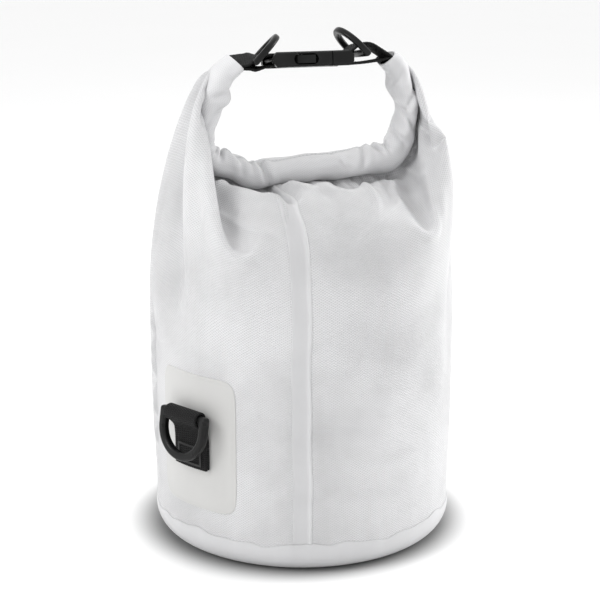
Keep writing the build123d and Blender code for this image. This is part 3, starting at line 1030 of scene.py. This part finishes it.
def left_loop():
    """Runs doubled out of the left leg, over the ring's bar, round the socket's bar and back under."""
    x, z = left_root[0], left_root[2]
    bar = left_ring[0]
    upper = curve_through([(x - 3.6, z - 1.9), (x - 0.8, z + 0.4), (x + 3.0, z + 0.9),
                           (bar - 4.2, z + 1.6), (bar - 1.2, z + 3.0), (bar + 3, z + 3.1),
                           (left_bar[0], left_bar[1] + wrap)], 70)[0]
    lower = curve_through([(left_bar[0], left_bar[1] - wrap), (bar + 3, z - 3.1), (bar - 1.2, z - 3.0),
                           (bar - 4.2, z - 1.4), (x + 3.0, z - 0.8), (x - 0.6, z - 1.3),
                           (x - 3.0, z - 3.4)], 70)[0]
    line = np.vstack([upper, arc_points(left_bar, wrap, 80, -80), lower])
    turned, turn_start, turn_run = math.radians(20), x + 4, 13
    piece = strap("loop_left", line, strap_width,
                  on_handle(lambda reach: turned * (1 - smooth((reach - turn_start) / turn_run))))
    follow_root(piece)
    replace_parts(piece, "webbing_loop_left")


def right_loop():
    """Runs out of the right leg in a slack arch over the ring's bar, and back under it, taut."""
    x, z = right_root[0], right_root[2]
    upper = curve_through([(x + 3.0, z - 1.8), (x, z + 1.0), (x - 5, z + 4.4), (x - 11, z + 7.8),
                           (x - 17, z + 7.6), (right_bar[0] + 1.6, right_bar[1] + wrap + 0.6),
                           (right_bar[0], right_bar[1] + wrap)], 80)[0]
    lower = curve_through([(right_bar[0], right_bar[1] - wrap), (right_bar[0] + 8, z - 2.4),
                           (x - 6, z - 1.4), (x, z - 0.7), (x + 2.4, z - 2.8)], 60)[0]
    line = np.vstack([upper, arc_points(right_bar, wrap, 100, 260), lower])
    piece = strap("loop_right", line, strap_width, on_handle())
    follow_root(piece)
    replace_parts(piece, "webbing_loop_right")


def patch_tab():
    """Webbing folded round the bar of the patch's ring, both ends sewn down on the patch."""
    bar = (math.hypot(ring_bar[0], ring_bar[1]), ring_bar[2])
    fold = 3.7
    outer, inner = tab_face - strap_thickness / 2, tab_face - 1.5 * strap_thickness
    front = curve_through([(outer, tab_bottom + 0.3), (outer, tab_bottom + 10), (outer, bar[1] - 13),
                           (outer + 0.5, bar[1] - 8), (bar[0] + 0.6, bar[1] - fold)], 60)[0]
    back = curve_through([(bar[0] - fold * 0.99, bar[1] + 0.6), (inner + 0.3, bar[1] - 5),
                          (inner, bar[1] - 12), (inner, tab_bottom + 0.6)], 60)[0]
    line = np.vstack([front, arc_points(bar, fold, -72, 170, 26), back])
    piece = strap("patch_tab", line, tab_width, on_patch)
    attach(piece, "bag")
    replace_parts(piece, "patch_webbing")


left_loop()
right_loop()
patch_tab()

# ==== Buckle's inner guides ====


def buckle_guides():
    """The two thin walls inside the socket that guide the insert's middle tongue."""
    start, end = socket_low[0] + 12.5, socket_high[0] - 6.0
    half_height, half_thickness = 2.7, 0.4
    along = np.array([start, end, end, start])
    rise = buckle_middle + half_height * np.array([-1, -1, 1, 1])
    faces = [(0, 1, 2, 3), (7, 6, 5, 4), (0, 4, 5, 1), (1, 5, 6, 2), (2, 6, 7, 3), (3, 7, 4, 0)]
    for name, middle in (("guide_front", -3.8), ("guide_back", 3.8)):
        corners = [on_handle()(along, np.full(4, middle + side), rise)
                   for side in (-half_thickness, half_thickness)]
        guide = mesh_object(name, np.vstack(corners), faces, buckle_plastic)
        guide.data.polygons.foreach_set("use_smooth", [False] * len(faces))
        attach(guide, "left_buckle_half")


buckle_guides()

# ==== CAD pieces that keep their shape ====

cad_looks = [
    (ring_plastic, ["patch_d_ring", "d_ring_left", "d_ring_right"]),
    (buckle_plastic, ["buckle_socket", "buckle_insert", "buckle_prong_front", "buckle_prong_back"]),
    (strip_plastic, ["stiffener_lower", "stiffener_upper"]),
    (black_thread, ["patch_stitching", "stitching_left", "stitching_right"]),
]
for material, names in cad_looks:
    for name in names:
        slots = frame["nodes"][name].data.materials
        slots.clear()
        slots.append(material)

# ==== Floor, light and camera ====


def floor():
    """A white floor with a painted soft dark shadow close round the bag's foot."""
    painted_shadow_centre = (0.0, 0.006, 0.0)
    shadow_dark_radius, shadow_clear_radius = 0.080, 0.106
    m = Nodes("studio_floor")
    place = m.add("NewGeometry").outputs["Position"]
    shift = m.add("VectorMath", {0: place, 1: painted_shadow_centre}, operation="SUBTRACT").outputs[0]
    away = m.add("VectorMath", {0: shift}, operation="LENGTH").outputs["Value"]
    # Painted shadow: the floor's colour turns dark near the bag's foot and fades to white further out.
    shade = m.add("MapRange", {"Value": away, "From Min": shadow_dark_radius, "From Max": shadow_clear_radius},
                  interpolation_type="SMOOTHSTEP").outputs[0]
    white = m.mix(m.noise(place, 3.0), tinted(0.93), tinted(0.95))
    m.shade(Base_Color=m.mix(shade, tinted(0.22), white), Roughness=0.65)
    reach = 4000.0
    corners = [(-reach, -reach, 0), (reach, -reach, 0), (reach, reach, 0), (-reach, reach, 0)]
    mesh_object("studio_floor", corners, [(0, 1, 2, 3)], m.material)


def look_at(thing, target):
    thing.rotation_euler = (target - thing.location).to_track_quat("-Z", "Y").to_euler()


def light(name, place, size, power):
    """A square area light, in metres and watts, that points at the middle of the bag."""
    lamp = bpy.data.lights.new(name, "AREA")
    lamp.energy = power
    lamp.size = size
    thing = scene_object(name, lamp)
    thing.location = place
    look_at(thing, Vector((0, 0, 0.13)))


def studio():
    """Even white light from all round, and three weak lamps that give the folds their shape."""
    world = bpy.data.worlds.new("studio")
    bpy.context.scene.world = world
    world.use_nodes = True
    sky = world.node_tree.nodes["Background"]
    sky.inputs["Color"].default_value = (1.0, 1.0, 1.0, 1.0)
    sky.inputs["Strength"].default_value = 1.0
    light("left_side", (-1.1, -0.3, 0.8), 0.5, 6)
    light("right_side", (1.2, 0.0, 0.5), 0.7, 8)
    light("overhead", (0.1, 0.4, 1.4), 0.9, 3)
    bpy.context.scene.view_settings.view_transform = "Standard"


def camera():
    """The view from the left of the front, a little above."""
    image_size = 600
    lens = bpy.data.cameras.new("camera")
    lens.lens = 96.9
    lens.sensor_width = 36
    lens.shift_x = -2 / image_size
    thing = scene_object("camera", lens)
    turn, rise, distance = math.radians(-16), math.radians(15), 0.931
    aim = Vector((0, 0, 0.133))
    thing.location = aim + distance * Vector((math.sin(turn) * math.cos(rise),
                                              -math.cos(turn) * math.cos(rise), math.sin(rise)))
    look_at(thing, aim)
    bpy.context.scene.camera = thing


floor()
studio()
camera()
